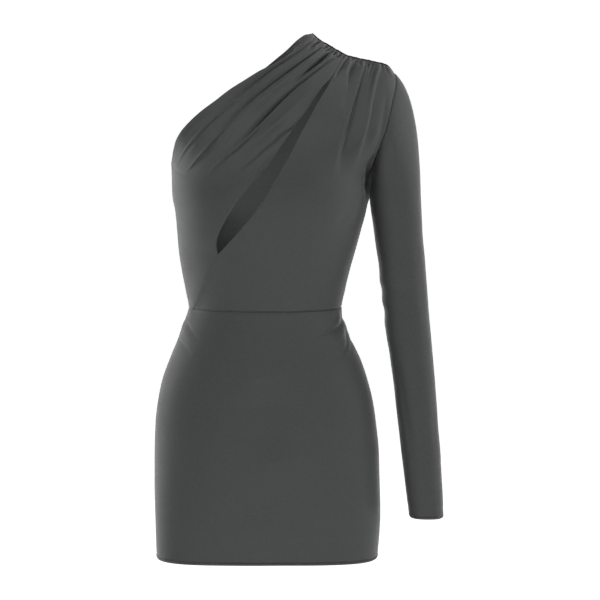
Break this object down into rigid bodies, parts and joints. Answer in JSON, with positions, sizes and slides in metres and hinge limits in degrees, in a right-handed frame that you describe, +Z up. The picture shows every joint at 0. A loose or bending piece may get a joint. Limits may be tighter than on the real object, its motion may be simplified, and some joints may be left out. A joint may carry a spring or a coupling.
{
  "type": "dress",
  "caption": "Short fitted dress with one shoulder, one long tight sleeve, a gathered shoulder seam, a diagonal neckline and a diagonal slit across the front.",
  "frame": {"origin": "under the middle of the gathered shoulder seam, where the wearer's shoulder holds the dress up", "axes": "+Z up, the front faces -Y, and the sleeve is on the +X side"},
  "size_m": [0.4227, 0.2382, 0.7557],
  "materials": {
    "jersey": "dark grey fine-knit stretch jersey, matt with a soft sheen towards its edges"
  },
  "bodies": {
    "root": {"front_drape": "jersey", "front_main": "jersey", "bodice_back": "jersey", "skirt_front": "jersey", "skirt_back": "jersey", "sleeve": "jersey", "shoulder_binding": "jersey"}
  },
  "joints": []
}
